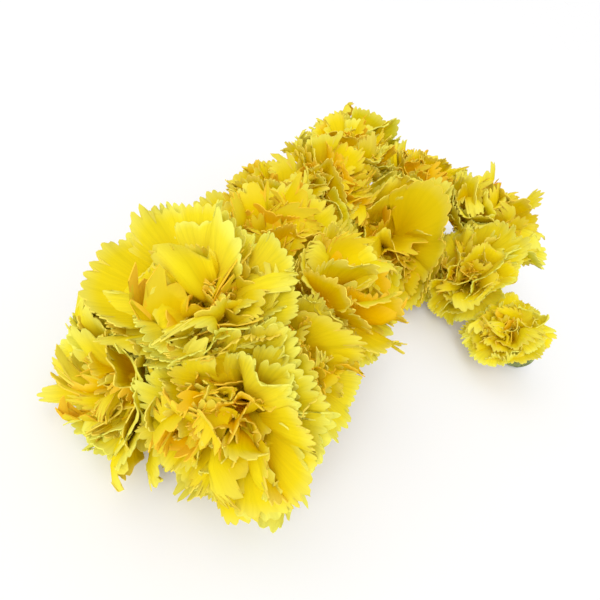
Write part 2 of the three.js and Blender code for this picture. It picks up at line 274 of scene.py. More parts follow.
def mix_colours(tree, factor, first, second, blend="MIX"):
    """One colour from two. Each of the three is a socket or a plain value."""
    made = tree.nodes.new("ShaderNodeMix")
    made.data_type = "RGBA"
    made.blend_type = blend
    for index, source in ((0, factor), (6, first), (7, second)):
        if hasattr(source, "is_linked"):
            tree.links.new(source, made.inputs[index])
        else:
            made.inputs[index].default_value = source
    return made.outputs[2]


def ranged(tree, source, start, end, low=0.0, high=1.0, kind="LINEAR"):
    """A value that goes from low to high while its source goes from start to end."""
    made = node(tree, "ShaderNodeMapRange", [(0, source)], in_1=start, in_2=end, in_3=low, in_4=high,
                interpolation_type=kind)
    return made.outputs[0]


def shaded(colour, factor):
    """A lighter or darker colour of the same kind."""
    return tuple(min(1.0, factor * part) for part in colour[:3]) + (1,)


def fibre_group():
    """Fine lines that run along V of the UV map, for veins and crepe."""
    tree, source, sink = new_group(
        "Fibres",
        [("Across", "NodeSocketFloat", 40.0), ("Along", "NodeSocketFloat", 2.0),
         ("Seed", "NodeSocketFloat", 0.0)],
        [("Lines", "NodeSocketFloat")])
    place = node(tree, "ShaderNodeUVMap", uv_map="UVMap")
    parts = node(tree, "ShaderNodeSeparateXYZ", [(0, place.outputs[0])])
    across = node(tree, "ShaderNodeMath", [(0, parts.outputs[0]), (1, source.outputs["Across"])],
                  operation="MULTIPLY")
    along = node(tree, "ShaderNodeMath", [(0, parts.outputs[1]), (1, source.outputs["Along"])],
                 operation="MULTIPLY")
    joined = node(tree, "ShaderNodeCombineXYZ",
                  [(0, across.outputs[0]), (1, along.outputs[0]), (2, source.outputs["Seed"])])
    lines = node(tree, "ShaderNodeTexNoise", [("Vector", joined.outputs[0])],
                 in_Scale=1.0, in_Detail=2.0, in_Roughness=0.6)
    tree.links.new(lines.outputs[0], sink.inputs["Lines"])
    return tree


def mottle_group():
    """Soft spots of a size given in metres, as values between 0 and 1."""
    tree, source, sink = new_group(
        "Mottle",
        [("Spot Size", "NodeSocketFloat", 0.01)],
        [("Spots", "NodeSocketFloat")])
    place = node(tree, "ShaderNodeTexCoord")
    scale = node(tree, "ShaderNodeMath", [(1, source.outputs["Spot Size"])],
                 operation="DIVIDE", in_0=1.0)
    spots = node(tree, "ShaderNodeTexNoise",
                 [("Vector", place.outputs["Object"]), ("Scale", scale.outputs[0])],
                 in_Detail=3.0, in_Roughness=0.55)
    tree.links.new(spots.outputs[0], sink.inputs["Spots"])
    return tree


def group_node(tree, name, make, **values):
    """A shader group in a material, made the first time that it is asked for."""
    made = tree.nodes.new("ShaderNodeGroup")
    made.node_tree = bpy.data.node_groups.get(name) or make()
    for label, value in values.items():
        made.inputs[label.replace("_", " ")].default_value = value
    return made


def new_material(name, **values):
    """A material with one Principled shader and its constant values."""
    material = bpy.data.materials.new(name)
    material.use_nodes = True
    tree = material.node_tree
    shader = tree.nodes["Principled BSDF"]
    for label, value in values.items():
        shader.inputs[label.replace("_", " ")].default_value = value
    return material, tree, shader


def add_bump(tree, shader, height, distance, strength):
    """Relief on a shader from a height between 0 and 1."""
    bump = node(tree, "ShaderNodeBump", [("Height", height)],
                in_Distance=distance, in_Strength=strength)
    tree.links.new(bump.outputs[0], shader.inputs["Normal"])


# ------------------------------------------------------------------ materials


def petal_material(name, throat, limb, margin):
    """A petal's side: golden throat, open limb, pale margin, fine veins and a tint for each petal. The
    golden throat and the tint are partly the petal's own warmer yellow and partly painted shade deep in the
    flower.
    """
    material, tree, shader = new_material(name, Roughness=0.75, Specular_IOR_Level=0.0)
    place = node(tree, "ShaderNodeUVMap", uv_map="UVMap")
    along = node(tree, "ShaderNodeSeparateXYZ", [(0, place.outputs[0])]).outputs[1]
    # Partly painted shade: from the golden throat, deep in the flower, to the open limb. The rest is the
    # petal's own warmer base.
    depth = ranged(tree, along, start=0.28, end=0.97, kind="SMOOTHSTEP")
    rim = ranged(tree, along, start=0.8, end=1.0, kind="SMOOTHSTEP")
    body = mix_colours(tree, depth, throat, limb)
    edged = mix_colours(tree, rim, body, margin)
    fibres = group_node(tree, "Fibres", fibre_group, Across=46.0, Along=1.6).outputs[0]
    vein = ranged(tree, fibres, start=0.34, end=0.62, low=0.88, high=1.04)
    veined = mix_colours(tree, 1.0, edged, vein, "MULTIPLY")
    tint = node(tree, "ShaderNodeAttribute", attribute_name="petal_tint").outputs["Fac"]
    # The tint turns a petal towards the throat's colour: partly its own warmer yellow, partly painted shade
    # on the inner layers.
    golden_and_shade_share = ranged(tree, tint, start=0.0, end=1.0, high=0.8)
    deep = mix_colours(tree, golden_and_shade_share, veined, throat)
    fresh = ranged(tree, tint, start=0.4, end=0.0, high=0.08)
    tree.links.new(mix_colours(tree, fresh, deep, margin), shader.inputs["Base Color"])
    add_bump(tree, shader, fibres, distance=0.25 * MM, strength=0.55)
    return material


def green_material(name, colour, dark, across, roughness):
    """A fleshy or fibrous green with lines along it and soft spots."""
    material, tree, shader = new_material(
        name, Roughness=roughness, Specular_IOR_Level=0.35, Subsurface_Weight=0.08,
        Subsurface_Radius=(0.6, 1.0, 0.2), Subsurface_Scale=1.5 * MM)
    spots = group_node(tree, "Mottle", mottle_group, Spot_Size=4 * MM).outputs[0]
    fibres = group_node(tree, "Fibres", fibre_group, Across=across, Along=3.0).outputs[0]
    shade = ranged(tree, spots, start=0.35, end=0.7)
    body = mix_colours(tree, shade, colour, dark)
    line = ranged(tree, fibres, start=0.35, end=0.65, low=0.7, high=1.15)
    tree.links.new(mix_colours(tree, 1.0, body, line, "MULTIPLY"), shader.inputs["Base Color"])
    add_bump(tree, shader, fibres, distance=0.3 * MM, strength=0.5)
    return material


def moss_material(colour):
    """Matted moss: painted shade in the low spots of its fine relief, olive and straw-coloured tips."""
    material, tree, shader = new_material("moss", Roughness=0.95, Specular_IOR_Level=0.15, Sheen_Weight=0.2)
    coarse = group_node(tree, "Mottle", mottle_group, Spot_Size=9 * MM).outputs[0]
    fine = group_node(tree, "Mottle", mottle_group, Spot_Size=1.2 * MM).outputs[0]
    straw = shaded(colour, 2.6)
    painted_hollow_shade = shaded(colour, 0.3)
    patches = ranged(tree, coarse, start=0.42, end=0.72)
    body = mix_colours(tree, patches, colour, straw)
    # Painted shade: darker where the fine relief of the bump below is low.
    hollow_shade_mask = ranged(tree, fine, start=0.5, end=0.3)
    tree.links.new(mix_colours(tree, hollow_shade_mask, body, painted_hollow_shade), shader.inputs["Base Color"])
    add_bump(tree, shader, fine, distance=1.2 * MM, strength=0.9)
    return material


def wire_material(colour):
    """Dull drawn steel with darker patches."""
    material, tree, shader = new_material("wire", Metallic=1.0, Roughness=0.42)
    spots = group_node(tree, "Mottle", mottle_group, Spot_Size=3 * MM).outputs[0]
    patches = ranged(tree, spots, start=0.45, end=0.7)
    rust = (0.16, 0.12, 0.09, 1)
    tree.links.new(mix_colours(tree, patches, colour, rust), shader.inputs["Base Color"])
    rough = ranged(tree, spots, start=0.0, end=1.0, low=0.3, high=0.6)
    tree.links.new(rough, shader.inputs["Roughness"])
    add_bump(tree, shader, spots, distance=0.1 * MM, strength=0.3)
    return material


# ------------------------------------------------------------------ the flowers' places


class Flower:
    """Where one flower stands, read from its calyx in the frame."""

    MOUTH_RADIUS = 0.08  # of the calyx, as a share of the flower's width
    BELOW_MIDDLE = 0.16  # from the mouth to the middle of the head, as a share of the width
    NEARLY_ALONG = 0.9  # an axis with more than this of X is nearly along it

    def __init__(self, bloom_node):
        self.node = bloom_node
        self.number = int(bloom_node.split("_")[1])
        self.calyx_node = bloom_node.replace("bloom", "calyx")
        points = np.unique(np.round(points_of(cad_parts[self.calyx_node]), 6), axis=0)
        centre = points.mean(0)
        axis = np.linalg.svd(points - centre)[2][0]
        heights = (points - centre) @ axis
        radii = np.linalg.norm(points - centre - heights[:, None] * axis, axis=1)
        if heights[radii.argmax()] < 0:
            axis, heights = -axis, -heights
        self.axis = axis
        self.mouth = centre + axis * heights.max()
        self.foot = centre + axis * heights.min()
        self.width = radii.max() / self.MOUTH_RADIUS
        self.size = self.width * HEAD_SIZES.get(self.number, HEAD_SIZE)
        self.room = self.width * ROOMS.get(self.number, 1)
        self.middle = self.mouth + axis * self.width * self.BELOW_MIDDLE
        guide = np.array([1.0, 0, 0] if abs(axis[0]) < self.NEARLY_ALONG else [0, 1.0, 0])
        self.side = guide - axis * (guide @ axis)
        self.side /= np.linalg.norm(self.side)
        self.across = np.cross(axis, self.side)

    def placed(self, points):
        """Points given along side, across and axis from the mouth, in the frame."""
        return self.mouth + points @ np.array([self.side, self.across, self.axis])


def all_flowers():
    """The flowers of the frame, in the order of their numbers."""
    return [Flower(name) for name in FLOWER_NODES]


# ------------------------------------------------------------------ petals

# The flat pattern of a petal: columns across, rows along, and one rounded tooth for each column.
PETAL_COLUMNS = 18
PETAL_ROWS = 10
ROW_CROWDING = 0.8  # under 1, the rows lie closer together towards the margin
TOOTH_CUTS = 3  # new points on the margin between two notches
TOOTH_BULGE = 0.02  # share of the petal's length
ON_MARGIN = 1 - 1e-4  # a point that is further along a petal than this is on its margin

# Layers from the outside in. The petals of a layer start beside the flower's axis, leave it at an angle of
# root, bend out to an angle of end, and fan out by a spread to both sides. Angles are in degrees from the
# axis, lengths are shares of the flower's width, and the golden share is how far the petals turn to the
# throat's colour: partly their own warmer yellow, partly painted shade that grows towards the inner layers.
# The inner petals stand in tufts, which lean out of the flower's axis by a tilt.
LAYERS = [
    dict(count=7, start=0.03, root=46, end=108, length=0.54, spread=46, ruffle=0.050, twist=18, curl=0,
         gold_and_shade=0.12),
    dict(count=7, start=0.03, root=38, end=92, length=0.55, spread=46, ruffle=0.055, twist=24, curl=4,
         gold_and_shade=0.18),
    dict(count=7, start=0.03, root=26, end=74, length=0.55, spread=44, ruffle=0.060, twist=30, curl=12,
         gold_and_shade=0.3),
    dict(count=4, start=0.02, root=14, end=46, length=0.50, spread=40, ruffle=0.065, twist=36, curl=26,
         gold_and_shade=0.5, tufts=3, tilt=27),
    dict(count=5, start=0.02, root=6, end=26, length=0.42, spread=38, ruffle=0.080, twist=70, curl=46,
         gold_and_shade=0.9, tufts=3, tilt=22),
]
TILT_SPREAD = 8  # degrees, how differently the tufts lean
TUFT_SPREAD = 0.15  # how unevenly the tufts stand, as a share of the way between two

# How differently the petals of one layer are drawn, to both sides of the layer's own values.
PLACE_SPREAD = 0.42  # share of the way to the next petal
ROOT_SPREAD = 7  # degrees
END_SPREAD = 30  # degrees
CURL_SPREAD = 55  # degrees
LENGTH_SPREAD = 0.18  # this and the next two are shares of the layer's values
FAN_SPREAD = 0.16
RUFFLE_SPREAD = 0.35
GOLD_SPREAD = 0.7  # from the least golden petal to the most
ROLLED_SHARE = 0.27  # the share of petals that roll up at the margin
STRONG_CURL = 80  # how much more they roll, in degrees
OPEN_SIDE = 12  # a flower opens wider on one side, by this many degrees

# The shape along a petal, as shares of its length.
CLAW_SHARE = 0.28  # how far along a petal its narrow claw reaches
CLAW_WIDTH = 0.05  # half width of the claw
BEND_POWER = 1.3  # over 1, a petal bends more towards its margin
PROFILE_STEPS = 10  # straight steps that a bent petal is summed up from
CURL_START = 0.7  # how far along a petal its margin begins to curl
CURL_LENGTH = 0.3  # over this much more it turns by its full angle of curl, slowly at first
CURL_MOST = 1.2  # this many times that length is as far as the curl goes on
WRAP_RADIUS = 0.30  # in flower widths, how far behind the flower's axis the line is that a petal wraps round
FOLD = 0.25  # the steepest fold along the middle
CUP = 0.45  # the steepest cup across

# Waves over a petal, from broad to fine: their radians over half its width, how differently those are
# drawn, how high they are against the layer's ruffle, how late they grow along it and how far they slant.
WAVES = [
    dict(across=3.6, spread=1.2, height=1.0, growth=1.5, slant=0),
    dict(across=8, spread=2, height=0.5, growth=2.5, slant=2.0),
    dict(across=14, spread=2.5, height=0.22, growth=4.0, slant=5.0),
]
RUFFLE_HEIGHT = 1.3  # all waves are higher than the layer's ruffle by this factor
LOBES = 9  # parts of the margin that bend on their own
LOBE_BEND = 0.035  # share of the flower's width
LOBE_ROOT = 0.6  # how far along a petal that begins

# The margin. Depths are shares of the petal's length, but those of notches and tips are factors of the
# tooth depth that the user gives.
UNEVEN_SIZES = (0.07, 0.035)  # how uneven the teeth's widths are
UNEVEN_WAVES = (3.0, 7.0)
CORNER_DEPTH = 0.09  # how much shorter a petal is at its rounded corners
SKEW = 0.10  # how much longer it may be at one side
SPLIT_REACH = 0.75  # how far from the middle its splits may lie, as a share of the way to a side
SPLIT_WIDTH = 0.07  # another share of that way
SPLIT_DEPTHS = (0.14, 0.10)  # at the most
NOTCH_LEAST = 0.08
NOTCH_MORE = 1.5  # how much deeper than that the deepest notch is, but few come near it
TIP_SPREAD = 0.35  # how far the tip of a tooth may stay back
NOTCH_BOTTOM = 0.1  # how wide a notch is at its bottom, from its middle, as a share of a column
NOTCH_SIDE = 0.35  # where its sides end
NOTCH_SIDE_DEPTH = 0.18  # how deep they are against its bottom

# What single flowers have of their own, by their numbers.
HEAD_SIZE = 0.98  # the reach of the fine petals against the frame's thick ones
HEAD_SIZES = {1: 0.93, 2: 0.95, 3: 0.90, 5: 1.08, 7: 0.92, 9: 0.94, 10: 0.92, 11: 1.04, 13: 1.10, 14: 1.0,
              15: 0.76}  # flowers that reach more or less than that
# The way round, in degrees, in which a flower's petals are longest, and how much longer they are.
LONG_SIDES = {1: (-135, 0.12), 2: (-40, 0.08), 3: (138, 0.08), 5: (-64, 0.12), 6: (-77, 0.08),
              7: (-94, 0.08), 10: (-48, 0.16), 11: (3, 0.10), 12: (165, 0.10), 13: (138, 0.12),
              14: (-5, 0.16), 15: (147, 0.10)}
# Flowers of a warmer yellow.
GOLDEN = {4: 0.15, 5: 0.15, 6: 0.3, 7: 0.2, 8: 0.2, 9: 0.1, 11: 0.25, 12: 0.15}
# Flowers that take more or less room among the others than their width.
ROOMS = {3: 0.9, 5: 1.1, 6: 1.22, 13: 1.12}
# The way round in which a flower's heart leans, and how far, in degrees.
HEART_LEANS = {3: (-94, 27)}
HEART_LAYERS = 2  # the inner layers, which lean with the heart

# How crowded petals give way.
OVERLAP = 15 * MM  # how far a petal may reach over the plane between two flowers
STAND_OVERLAP = 1.6 * OVERLAP  # how far it may reach over it before it stands up
STAND_SHARES = (0.7, 1.0)  # the places along a petal where that is measured
STAND_GAPS = 2  # a petal keeps this many times the gap to table and core before it stands up
STAND_STEPS = 12  # a petal in the way of something stands up by this many steps at most
STAND_ROOT = 4  # degrees of each step at the petal's root
STAND_END = 9  # degrees of each step at its margin
GIVE_DEPTH = 0.2  # share of the width over which a petal gives way
GIVE_MOST = 0.8  # share of the way from a flower's middle to the plane over which it gives way at most
GIVE_LIFT = 0.5  # how much a crowded petal rises for each part that it is pushed back
LEAST_RISE = 0.5  # a way up that is shorter than this isn't lengthened to 1
NEAR_REACH = 0.6  # petals that are further than this share of a width from a neighbour's middle rise less
NEAR_FADE = 6  # how fast that falls off
TABLE_GAP = 0.5 * MM  # what a petal keeps to the table at least
CORE_GAP = 0.8 * MM  # what it keeps to the taped core at least
CORE_TAPE = 1.6 * MM  # room for the tape round the core
CORE_GIVE = 6 * MM  # how far round the taped core it gives way
SEED = 35


def flat_petal():
    """One flat petal, from -1 to 1 across and from 0 to 1 along, with extra points on the margin."""
    deselect()
    bpy.ops.mesh.primitive_grid_add(x_subdivisions=PETAL_COLUMNS, y_subdivisions=PETAL_ROWS, size=2)
    petal = bpy.context.object
    petal.name = "petal_pattern"
    points = points_of(petal)
    share = (points[:, 1] + 1) / 2
    points[:, 1] = 1 - (1 - share) ** (1 / ROW_CROWDING)
    set_points(petal, points)
    bpy.ops.object.mode_set(mode="EDIT")
    bpy.ops.mesh.select_all(action="DESELECT")
    bpy.ops.object.mode_set(mode="OBJECT")
    top = points[:, 1] > ON_MARGIN
    for edge in petal.data.edges:
        edge.select = bool(top[edge.vertices[0]] and top[edge.vertices[1]])
    bpy.ops.object.mode_set(mode="EDIT")
    bpy.ops.mesh.select_mode(type="EDGE")
    bpy.ops.mesh.subdivide(number_cuts=TOOTH_CUTS, ngon=True)
    bpy.ops.object.mode_set(mode="OBJECT")
    points = points_of(petal)
    bulge = TOOTH_BULGE * np.abs(np.sin(np.pi * (points[:, 0] + 1) * PETAL_COLUMNS / 2))
    set_points(petal, points + [0, 1, 0] * (bulge * (points[:, 1] > ON_MARGIN))[:, None])
    bpy.ops.object.mode_set(mode="EDIT")
    bpy.ops.mesh.select_all(action="SELECT")
    bpy.ops.mesh.quads_convert_to_tris(quad_method="FIXED", ngon_method="BEAUTY")
    bpy.ops.object.mode_set(mode="OBJECT")
    return petal


def petal_draws(layer, random):
    """The sizes and draws of all petals of one layer, as columns."""
    count = layer["count"]
    spread = random.uniform(-1, 1, (16, count, 1))
    chance = random.uniform(0, 1, (8, count, 1))
    place = np.arange(count)[:, None] + PLACE_SPREAD * spread[0]
    turn = 2 * np.pi * (place / count + chance[7, 0])
    rolled = STRONG_CURL * np.sign(spread[5]) * (chance[6] > 1 - ROLLED_SHARE)
    return dict(
        turn=turn,
        start=np.full((count, 1), layer["start"]),
        root=np.radians(layer["root"] + ROOT_SPREAD * spread[1]),
        end=np.radians(layer["end"] + END_SPREAD * spread[2] + OPEN_SIDE * np.cos(turn)),
        curl=np.radians(layer["curl"] + CURL_SPREAD * spread[3] + rolled),
        length=layer["length"] * (1 + LENGTH_SPREAD * spread[4]),
        fan=np.radians(layer["spread"] * (1 + FAN_SPREAD * spread[5])),
        ruffle=layer["ruffle"] * (1 + RUFFLE_SPREAD * spread[6]),
        waves=[wave["across"] + wave["spread"] * draw for wave, draw in zip(WAVES, spread[7:10])],
        phases=2 * np.pi * chance[0:3],
        twist=np.radians(layer["twist"]) * spread[10],
        fold=FOLD * spread[11],
        cup=CUP * spread[12],
        skew=SKEW * spread[13],
        splits=[SPLIT_REACH * draw for draw in spread[14:16]],
        depths=[deepest * draw for deepest, draw in zip(SPLIT_DEPTHS, chance[3:5])],
        # The tint is partly the petal's own warmer yellow and partly painted shade: inner layers, deep in
        # the flower, get more of the throat's colour.
        tint=np.clip(layer["gold_and_shade"] + GOLD_SPREAD * (chance[5] - 0.5), 0, 1),
    )


def margin_shape(petal, across, along, random, tooth_depth):
    """How far each column of a petal reaches: rounded corners, one or two splits and fine teeth."""
    reach = 1 - CORNER_DEPTH * np.abs(across) ** 3 + petal["skew"] * across
    for place, depth in zip(petal["splits"], petal["depths"]):
        reach = reach - depth * np.exp(-(((across - place) / SPLIT_WIDTH) ** 2))
    columns = (across + 1) * PETAL_COLUMNS / 2
    nearest = np.round(columns).astype(int)
    from_notch = np.abs(columns - nearest)
    size = NOTCH_LEAST + NOTCH_MORE * random.uniform(0, 1, (reach.shape[0], PETAL_COLUMNS + 1)) ** 2
    tips = random.uniform(0, TIP_SPREAD, size.shape)
    low = np.take_along_axis(size, np.clip(nearest, 0, PETAL_COLUMNS), 1)
    tip = np.take_along_axis(tips, np.clip(np.floor(columns).astype(int), 0, PETAL_COLUMNS), 1)
    side = np.where(from_notch < NOTCH_SIDE, NOTCH_SIDE_DEPTH, 0.0)
    notch = low * np.where(from_notch < NOTCH_BOTTOM, 1.0, side)
    return reach - (along > ON_MARGIN) * tooth_depth * (notch + tip)


def lobe_flutter(across, random):
    """Each lobe of the margin bends its own way, and neighbouring columns follow it."""
    places = np.linspace(-1, 1, LOBES)
    return np.array([np.interp(row, places, random.uniform(-LOBE_BEND, LOBE_BEND, LOBES))
                     for row in across])


def stand_up(petal, flower, flowers):
    """Petals that would reach into a neighbour, the core or the table stand up until they clear it."""
    for _ in range(STAND_STEPS):
        blocked = False
        for share in STAND_SHARES:
            _, out, up = profile(petal, np.full_like(petal["turn"], share))
            turn = petal["turn"]
            tips = np.concatenate([out * np.cos(turn), out * np.sin(turn), up], 1)
            points = flower.placed(tips * flower.size)
            room = room_from_others(points, flower, flowers) + STAND_OVERLAP
            room = np.minimum(room, points[:, 2] - STAND_GAPS * TABLE_GAP)
            room = np.minimum(room, core_distance(points)[0][:, 0] - CORE_RADIUS - STAND_GAPS * CORE_GAP)
            blocked = blocked | (room[:, None] < 0)
        petal["root"] = petal["root"] - np.radians(STAND_ROOT) * blocked
        petal["end"] = petal["end"] - np.radians(STAND_END) * blocked


def lean_over(turn, tilt):
    """The turn that leans a flower's axis over by a tilt, the given way round it."""
    return np.array(Matrix.Rotation(tilt, 3, Vector((-math.sin(turn), math.cos(turn), 0))))


def tuft_turns(layer, leans):
    """One turn for each tuft of a layer, which leans it out of the flower's axis."""
    if "tufts" not in layer:
        return [np.eye(3)]
    return [lean_over(turn, math.radians(layer["tilt"] + more)) for turn, more in leans]


def petals_of_layer(layer, random, flower, flowers):
    """The draws of one layer, with what this flower has of its own, standing clear of what is near it."""
    petal = petal_draws(layer, random)
    way, longer = LONG_SIDES.get(flower.number, (0, 0))
    petal["length"] = petal["length"] * (1 + longer * np.cos(petal["turn"] - math.radians(way)))
    petal["tint"] = np.minimum(petal["tint"] + GOLDEN.get(flower.number, 0), 1)
    stand_up(petal, flower, flowers)
    return petal


def fanned(petal, across, share):
    """Where a point of the flat petal comes to lie sideways and along it, on its claw and its open fan."""
    limb = np.maximum(share - CLAW_SHARE, 0)
    uneven = sum(size * np.sin(across * wave + phase)
                 for size, wave, phase in zip(UNEVEN_SIZES, UNEVEN_WAVES, petal["phases"]))
    opening = (across + uneven) * petal["fan"]
    sideways = petal["length"] * (across * CLAW_WIDTH + limb * np.sin(opening))
    return sideways, np.minimum(share, CLAW_SHARE) + limb * np.cos(opening)


def ruffled(petal, across, run, growth):
    """How high the waves lift each point off the petal's middle line."""
    lift = sum(
        wave["height"] * growth ** wave["growth"] * np.sin(across * drawn + phase + wave["slant"] * run)
        for wave, drawn, phase in zip(WAVES, petal["waves"], petal["phases"]))
    return lift * RUFFLE_HEIGHT * petal["ruffle"]


def wrapped(petal, sideways, out, lifted):
    """The x and y of points on petals that wrap round the flower, each petal turned to its own place."""
    wrap = sideways / (np.maximum(out, 0) + WRAP_RADIUS)
    middle = lifted + WRAP_RADIUS
    reach_out = middle * np.cos(wrap) - WRAP_RADIUS
    reach_side = middle * np.sin(wrap)
    turn = petal["turn"]
    return (reach_out * np.cos(turn) - reach_side * np.sin(turn),
            reach_out * np.sin(turn) + reach_side * np.cos(turn))


def bent_petals(layer, flat, random, user, flower, flowers):
    """A ring of petals, bent, ruffled and twisted, for a flower of width 1 with its mouth at 0."""
    petal = petals_of_layer(layer, random, flower, flowers)
    across = np.repeat(flat[None, :, 0], layer["count"], 0)
    along = np.repeat(flat[None, :, 1], layer["count"], 0)
    share = along * margin_shape(petal, across, along, random, user.tooth_depth)
    sideways, run = fanned(petal, across, share)
    angle, out, up = profile(petal, run)
    growth = np.clip(run, 0, 1)
    lift = ruffled(petal, across, run, growth) * user.ruffle
    lift = lift + lobe_flutter(across, random) * np.clip((along - LOBE_ROOT) / (1 - LOBE_ROOT), 0, 1) ** 2
    aside = np.abs(sideways)
    lift = lift + (petal["fold"] * aside - petal["cup"] * aside * np.abs(across)) * growth
    twist = petal["twist"] * growth
    sideways, lift = (sideways * np.cos(twist) - lift * np.sin(twist),
                      sideways * np.sin(twist) + lift * np.cos(twist))
    x, y = wrapped(petal, sideways, out, out + lift * np.cos(angle))
    return np.stack([x, y, up - lift * np.sin(angle)], -1), np.broadcast_to(petal["tint"], x.shape)


def profile(petal, run):
    """The angle from the axis at a share of the length, and the way out and up to it."""
    out, up = petal["start"] + 0 * run, 0 * run

    def angle_at(share):
        bend = petal["root"] + (petal["end"] - petal["root"]) * np.maximum(share, 0) ** BEND_POWER
        late = np.clip((share - CURL_START) / CURL_LENGTH, 0, CURL_MOST)
        return bend + petal["curl"] * late * late

    for step in range(PROFILE_STEPS):
        angle = angle_at(run * (step + 0.5) / PROFILE_STEPS)
        out = out + np.sin(angle) * petal["length"] * run / PROFILE_STEPS
        up = up + np.cos(angle) * petal["length"] * run / PROFILE_STEPS
    return angle_at(run), out, up


def squeezed(distance, limit, gap):
    """Lets a distance under a limit close up softly, so that it never falls under a gap."""
    near = np.minimum(distance, limit)
    closed = gap + (limit - gap) * np.exp((near - limit) / (limit - gap))
    return np.where(distance >= limit, distance, closed)


def plane_between(flower, other):
    """The way from another flower to this one, its length, and where on it their plane lies."""
    apart = flower.middle - other.middle
    distance = np.linalg.norm(apart)
    plane = (distance**2 + (other.room / 2) ** 2 - (flower.room / 2) ** 2) / (2 * distance)
    return apart / distance, distance, plane


def room_from_others(points, flower, flowers):
    """How far points are on their own flower's side of the nearest plane between two flowers."""
    rooms = []
    for other in flowers:
        if other is not flower:
            apart, _, plane = plane_between(flower, other)
            rooms.append((points - other.middle) @ apart - plane)
    return np.min(rooms, 0)


def core_distance(points):
    """How far points are from the middle of the core, and the way there, as columns."""
    flat = points - np.array(RING_CENTRE)
    nearest = flat * [1, 1, 0]
    nearest = nearest / np.linalg.norm(nearest, axis=1)[:, None] * RING_RADIUS
    from_core = flat - nearest
    return np.linalg.norm(from_core, axis=1)[:, None], from_core


def into_room(points, flower, flowers):
    """Petals give way to the flowers beside them, to the core and to the table."""
    depth = GIVE_DEPTH * flower.width
    for other in flowers:
        if other is flower:
            continue
        apart, distance, plane = plane_between(flower, other)
        room = (points - other.middle) @ apart - plane
        limit = min(depth, GIVE_MOST * (distance - plane))
        push = squeezed(room, limit, -OVERLAP) - room
        rise = flower.axis + other.axis
        rise = rise - apart * (rise @ apart)
        rise = rise / max(np.linalg.norm(rise), LEAST_RISE)
        widths_away = np.linalg.norm(points - other.middle, axis=1) / other.width
        near = np.exp(-np.maximum(widths_away - NEAR_REACH, 0) * NEAR_FADE)
        points = points + push[:, None] * (apart + GIVE_LIFT * near[:, None] * rise)
    length, from_core = core_distance(points)
    core = CORE_RADIUS + CORE_TAPE
    points = points + from_core * (squeezed(length, core + CORE_GIVE, core + CORE_GAP) / length - 1)
    points[:, 2] = squeezed(points[:, 2], TABLE_GAP + depth, TABLE_GAP)
    return points


def add_flower(flower, flowers, pattern, user, materials):
    """All petals of one flower, as one piece."""
    random = np.random.RandomState(SEED + flower.number)
    flat = points_of(pattern)
    tufts = max(layer.get("tufts", 1) for layer in LAYERS)
    first = random.uniform(0, 2 * np.pi)
    leans = [(first + 2 * np.pi * (tuft + random.uniform(-TUFT_SPREAD, TUFT_SPREAD)) / tufts,
              random.uniform(-TILT_SPREAD, TILT_SPREAD)) for tuft in range(tufts)]
    shapes, tints = [], []
    way, tilt = HEART_LEANS.get(flower.number, (0, 0))
    for place, layer in enumerate(LAYERS):
        inner = place >= len(LAYERS) - HEART_LAYERS
        heart = lean_over(math.radians(way), math.radians(tilt * inner))
        for turn in tuft_turns(layer, leans):
            points, values = bent_petals(layer, flat, random, user, flower, flowers)
            shapes.append(points.reshape(-1, 3) @ (heart @ turn).T)
            tints.append(values.reshape(-1))
    shape, tint = np.concatenate(shapes), np.concatenate(tints)
    piece = copy_of(pattern, "petals_%02d" % flower.number)
    apply_modifier(piece, "ARRAY", count=len(shape) // len(flat), use_relative_offset=True,
                   relative_offset_displace=(2, 0, 0), use_merge_vertices=False)
    set_points(piece, into_room(flower.placed(shape * flower.size), flower, flowers))
    attribute = piece.data.attributes.new("petal_tint", "FLOAT", "POINT")
    attribute.data.foreach_set("value", tint.astype(np.float32))
    stands_for(piece, flower.node, "yellow_petals", *materials)
    apply_modifier(piece, "SOLIDIFY", thickness=user.thickness, offset=0, material_offset=1,
                   material_offset_rim=0)
    smooth(piece, degrees=70)


# ------------------------------------------------------------------ calyxes and stems

CALYX_SIDES = 30
STEM_RADIUS = 1.9 * MM
STEM_LENGTH = 6.3 * MM  # from the cut end to the foot of the calyx
# The pattern's rings, bottom to top. Each has its place, from the foot of the calyx at 0 to its mouth at 1,
# or under 0 on the stem, and its radius as a share of the mouth's, or of the stem's where it is on that.
CALYX_RINGS = [(-1.0, 0.96), (-0.55, 1.0), (-0.12, 1.04), (0.02, 0.42), (0.10, 0.62), (0.25, 0.72),
               (0.50, 0.80), (0.78, 0.92), (1.0, 1.02), (1.12, 1.14)]
RIBS = 10
RIB_HEIGHT = 0.035  # share of the radius
RIB_START = 0.2  # the place on the calyx above which it has ribs
TEETH = 5
TOOTH_HEIGHT = 0.55  # this and the next are shares of the mouth's radius
TOOTH_DROP = 0.25  # how far the notches between the teeth lie under the last ring
TOOTH_POWER = 1.5  # over 1, the teeth are narrower than the notches between them
HOLLOW_RADIUS = 0.55  # of the floor inside the teeth, as a share of the mouth's radius
HOLLOW_FLOOR = 0.9  # its place on the calyx
HOLLOW_INSET = 0.35  # of that floor in the pattern, whose own radius is 1
HOLLOW_DROP = 0.8  # in rings of the pattern


def calyx_pattern():
    """A stack of rings from the cut stem to the five teeth, numbered by height."""
    deselect()
    bpy.ops.mesh.primitive_circle_add(vertices=CALYX_SIDES, radius=1, fill_type="NGON")
    piece = bpy.context.object
    piece.name = "calyx_pattern"
    bpy.ops.object.mode_set(mode="EDIT")
    bpy.ops.mesh.select_all(action="SELECT")
    for _ in CALYX_RINGS[1:]:
        bpy.ops.mesh.extrude_region_move(TRANSFORM_OT_translate={"value": (0, 0, 1)})
    bpy.ops.mesh.inset(thickness=HOLLOW_INSET, depth=-HOLLOW_DROP)
    bpy.ops.mesh.uv_texture_add()
    bpy.ops.object.mode_set(mode="OBJECT")
    return piece


